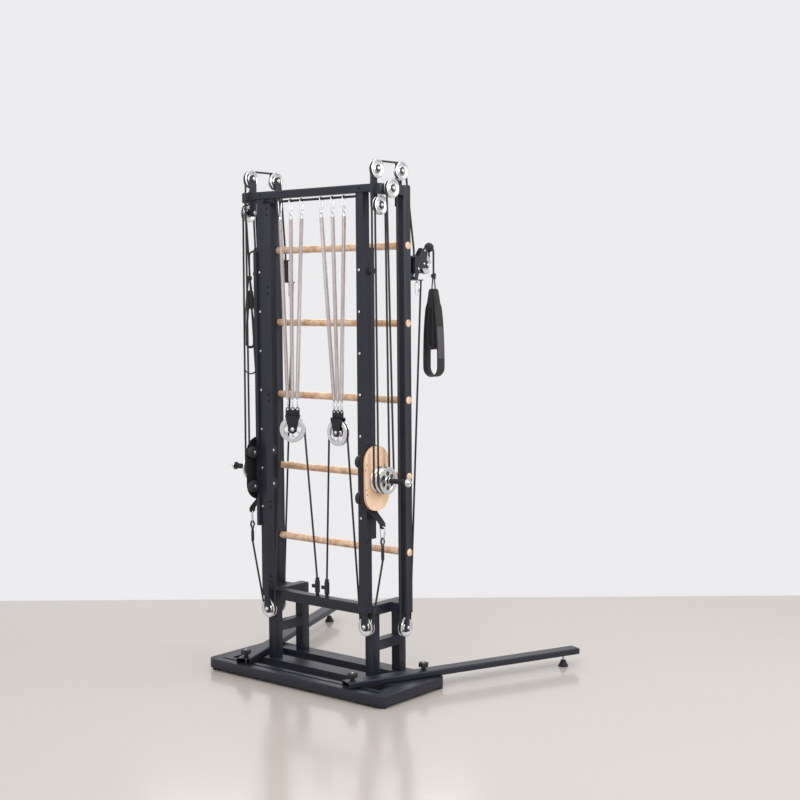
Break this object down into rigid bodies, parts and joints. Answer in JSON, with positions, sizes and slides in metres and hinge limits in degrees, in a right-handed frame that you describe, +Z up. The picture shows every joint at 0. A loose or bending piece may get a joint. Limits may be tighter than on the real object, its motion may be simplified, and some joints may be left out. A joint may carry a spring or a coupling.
{
  "type": "pilates pulley and spring tower",
  "caption": "Free-standing exercise tower with wall-bar rungs, sliding roped carriages loaded by coil springs, swivelling strap arms, and a low stand with clamped outrigger arms.",
  "frame": {"origin": "bottom centre of the bounding box, on the floor under the tower", "axes": "+Z up, +X to the right of someone facing the front, -Y the open front with the springs and carriages, +Y the rungs and outrigger arms"},
  "size_m": [1.4248, 1.0276, 2.0667],
  "materials": {
    "powder_coat": "satin black powder coat",
    "beech": "clear lacquered beech",
    "birch_board": "clear lacquered birch plywood",
    "silver_wheel": "bright metal",
    "steel_plate": "satin black powder coat",
    "spring_wire": "zinc plated wire",
    "rope": "braided cord",
    "webbing": "woven webbing",
    "black_knob": "matt",
    "rubber_foot": "matt"
  },
  "bodies": {
    "tower": {"base_frame": "powder_coat", "stand_frame": "powder_coat", "front_frame": "powder_coat", "top_frame": "powder_coat", "rung_1": "beech", "rung_2": "beech", "rung_3": "beech", "rung_4": "beech", "rung_5": "beech", "ladder_upright_left": "powder_coat", "main_rope_left": "rope", "spring_rope_left": "rope", "spring_inner_left": "spring_wire", "spring_middle_left": "spring_wire", "spring_outer_left": "spring_wire", "ladder_upright_right": "powder_coat", "main_rope_right": "rope", "spring_rope_right": "rope", "spring_inner_right": "spring_wire", "spring_middle_right": "spring_wire", "spring_outer_right": "spring_wire"},
    "carriage_left": {"carriage_plate_left": "powder_coat", "carriage_board_left": "birch_board"},
    "drum_left": {"rope_drum_left": "silver_wheel"},
    "pulley_high_front_left": {"pulley_high_front_left": "silver_wheel"},
    "pulley_high_rear_left": {"pulley_high_rear_left": "silver_wheel"},
    "pulley_low_left": {"pulley_low_left": "silver_wheel"},
    "pulley_side_left": {"pulley_side_left": "silver_wheel"},
    "pulley_rear_foot_left": {"pulley_rear_foot_left": "silver_wheel"},
    "pulley_front_foot_left": {"pulley_front_foot_left": "silver_wheel"},
    "yoke_body_left": {"yoke_left": "steel_plate"},
    "big_wheel_left": {"big_pulley_left": "silver_wheel"},
    "strap_swivel_left": {"strap_arm_left": "steel_plate", "strap_rope_left": "rope", "strap_left": "webbing"},
    "strap_roll_left": {"strap_wheel_left": "silver_wheel"},
    "arm_left": {"outrigger_arm_left": "powder_coat"},
    "knob_front_body_left": {"knob_front_left": "black_knob"},
    "knob_rear_body_left": {"knob_rear_left": "black_knob"},
    "foot_left": {"levelling_foot_left": "rubber_foot"},
    "carriage_right": {"carriage_plate_right": "powder_coat", "carriage_board_right": "birch_board"},
    "drum_right": {"rope_drum_right": "silver_wheel"},
    "pulley_high_front_right": {"pulley_high_front_right": "silver_wheel"},
    "pulley_high_rear_right": {"pulley_high_rear_right": "silver_wheel"},
    "pulley_low_right": {"pulley_low_right": "silver_wheel"},
    "pulley_side_right": {"pulley_side_right": "silver_wheel"},
    "pulley_rear_foot_right": {"pulley_rear_foot_right": "silver_wheel"},
    "pulley_front_foot_right": {"pulley_front_foot_right": "silver_wheel"},
    "yoke_body_right": {"yoke_right": "steel_plate"},
    "big_wheel_right": {"big_pulley_right": "silver_wheel"},
    "strap_swivel_right": {"strap_arm_right": "steel_plate", "strap_rope_right": "rope", "strap_right": "webbing"},
    "strap_roll_right": {"strap_wheel_right": "silver_wheel"},
    "arm_right": {"outrigger_arm_right": "powder_coat"},
    "knob_front_body_right": {"knob_front_right": "black_knob"},
    "knob_rear_body_right": {"knob_rear_right": "black_knob"},
    "foot_right": {"levelling_foot_right": "rubber_foot"}
  },
  "joints": [
    {"name": "carriage_left_slide", "type": "slide", "parent": "tower", "child": "carriage_left", "axis": [0, 0, 1], "range_m": [0, 0.65], "deforming": ["main_rope_left", "spring_rope_left"]},
    {"name": "drum_left_turn", "type": "hinge", "parent": "carriage_left", "child": "drum_left", "pos_m": [-0.3493, -0.342, 0.842], "axis": [1, 0, 0], "continuous": true},
    {"name": "pulley_high_front_left_turn", "type": "hinge", "parent": "tower", "child": "pulley_high_front_left", "pos_m": [-0.33805, -0.3585, 2.031], "axis": [1, 0, 0], "continuous": true},
    {"name": "pulley_high_rear_left_turn", "type": "hinge", "parent": "tower", "child": "pulley_high_rear_left", "pos_m": [-0.33805, -0.214, 2.031], "axis": [1, 0, 0], "continuous": true},
    {"name": "pulley_low_left_turn", "type": "hinge", "parent": "tower", "child": "pulley_low_left", "pos_m": [-0.35405, -0.3585, 1.893], "axis": [1, 0, 0], "continuous": true},
    {"name": "pulley_side_left_turn", "type": "hinge", "parent": "tower", "child": "pulley_side_left", "pos_m": [-0.3805, -0.321, 1.957], "axis": [1, 0, 0], "continuous": true},
    {"name": "pulley_rear_foot_left_turn", "type": "hinge", "parent": "tower", "child": "pulley_rear_foot_left", "pos_m": [-0.348, -0.216, 0.243], "axis": [1, 0, 0], "continuous": true},
    {"name": "pulley_front_foot_left_turn", "type": "hinge", "parent": "tower", "child": "pulley_front_foot_left", "pos_m": [-0.266, -0.357, 0.26], "axis": [0, 1, 0], "continuous": true},
    {"name": "yoke_left_slide", "type": "slide", "parent": "tower", "child": "yoke_body_left", "axis": [0, 0, 1], "range_m": [-0.33, 0], "deforming": ["spring_inner_left", "spring_middle_left", "spring_outer_left"]},
    {"name": "big_pulley_left_turn", "type": "hinge", "parent": "yoke_body_left", "child": "big_wheel_left", "pos_m": [-0.123, -0.352, 1.015], "axis": [-0.5736, 0.8192, 0], "continuous": true},
    {"name": "strap_arm_left_swing", "type": "hinge", "parent": "tower", "child": "strap_swivel_left", "pos_m": [-0.348, -0.149, 1.672], "axis": [0, 0, 1], "range_deg": [-223, 0]},
    {"name": "strap_wheel_left_turn", "type": "hinge", "parent": "strap_swivel_left", "child": "strap_roll_left", "pos_m": [-0.41196, -0.20867, 1.672], "axis": [0.6822, -0.7312, 0], "continuous": true},
    {"name": "arm_left_slide", "type": "slide", "parent": "tower", "child": "arm_left", "axis": [1, 0, 0], "range_m": [-0.025, 0.025]},
    {"name": "knob_front_left_turn", "type": "hinge", "parent": "arm_left", "child": "knob_front_body_left", "pos_m": [-0.2912, -0.4712, 0.08], "axis": [0, 0, 1], "continuous": true},
    {"name": "knob_rear_left_turn", "type": "hinge", "parent": "arm_left", "child": "knob_rear_body_left", "pos_m": [-0.4092, -0.1791, 0.08], "axis": [0, 0, 1], "continuous": true},
    {"name": "levelling_foot_left_screw", "type": "slide", "parent": "arm_left", "child": "foot_left", "axis": [0, 0, 1], "range_m": [-0.01, 0]},
    {"name": "carriage_right_slide", "type": "slide", "parent": "tower", "child": "carriage_right", "axis": [0, 0, 1], "range_m": [0, 0.65], "deforming": ["main_rope_right", "spring_rope_right"]},
    {"name": "drum_right_turn", "type": "hinge", "parent": "carriage_right", "child": "drum_right", "pos_m": [0.3493, -0.342, 0.842], "axis": [1, 0, 0], "continuous": true},
    {"name": "pulley_high_front_right_turn", "type": "hinge", "parent": "tower", "child": "pulley_high_front_right", "pos_m": [0.33805, -0.3585, 2.031], "axis": [1, 0, 0], "continuous": true},
    {"name": "pulley_high_rear_right_turn", "type": "hinge", "parent": "tower", "child": "pulley_high_rear_right", "pos_m": [0.33805, -0.214, 2.031], "axis": [1, 0, 0], "continuous": true},
    {"name": "pulley_low_right_turn", "type": "hinge", "parent": "tower", "child": "pulley_low_right", "pos_m": [0.35405, -0.3585, 1.893], "axis": [1, 0, 0], "continuous": true},
    {"name": "pulley_side_right_turn", "type": "hinge", "parent": "tower", "child": "pulley_side_right", "pos_m": [0.3805, -0.321, 1.957], "axis": [1, 0, 0], "continuous": true},
    {"name": "pulley_rear_foot_right_turn", "type": "hinge", "parent": "tower", "child": "pulley_rear_foot_right", "pos_m": [0.348, -0.216, 0.243], "axis": [1, 0, 0], "continuous": true},
    {"name": "pulley_front_foot_right_turn", "type": "hinge", "parent": "tower", "child": "pulley_front_foot_right", "pos_m": [0.266, -0.357, 0.26], "axis": [0, 1, 0], "continuous": true},
    {"name": "yoke_right_slide", "type": "slide", "parent": "tower", "child": "yoke_body_right", "axis": [0, 0, 1], "range_m": [-0.33, 0], "deforming": ["spring_inner_right", "spring_middle_right", "spring_outer_right"]},
    {"name": "big_pulley_right_turn", "type": "hinge", "parent": "yoke_body_right", "child": "big_wheel_right", "pos_m": [0.123, -0.352, 1.015], "axis": [0, 1, 0], "continuous": true},
    {"name": "strap_arm_right_swing", "type": "hinge", "parent": "tower", "child": "strap_swivel_right", "pos_m": [0.348, -0.149, 1.672], "axis": [0, 0, -1], "range_deg": [-82, 141]},
    {"name": "strap_wheel_right_turn", "type": "hinge", "parent": "strap_swivel_right", "child": "strap_roll_right", "pos_m": [0.3358, -0.0624, 1.672], "axis": [0.9903, 0.1392, 0], "continuous": true},
    {"name": "arm_right_slide", "type": "slide", "parent": "tower", "child": "arm_right", "axis": [1, 0, 0], "range_m": [-0.025, 0.025]},
    {"name": "knob_front_right_turn", "type": "hinge", "parent": "arm_right", "child": "knob_front_body_right", "pos_m": [0.2912, -0.4712, 0.08], "axis": [0, 0, 1], "continuous": true},
    {"name": "knob_rear_right_turn", "type": "hinge", "parent": "arm_right", "child": "knob_rear_body_right", "pos_m": [0.4092, -0.1791, 0.08], "axis": [0, 0, 1], "continuous": true},
    {"name": "levelling_foot_right_screw", "type": "slide", "parent": "arm_right", "child": "foot_right", "axis": [0, 0, 1], "range_m": [-0.01, 0]}
  ],
  "couplings": [
    {"joint": "yoke_left_slide", "follows": "carriage_left_slide", "ratio": -0.5},
    {"joint": "yoke_right_slide", "follows": "carriage_right_slide", "ratio": -0.5}
  ]
}
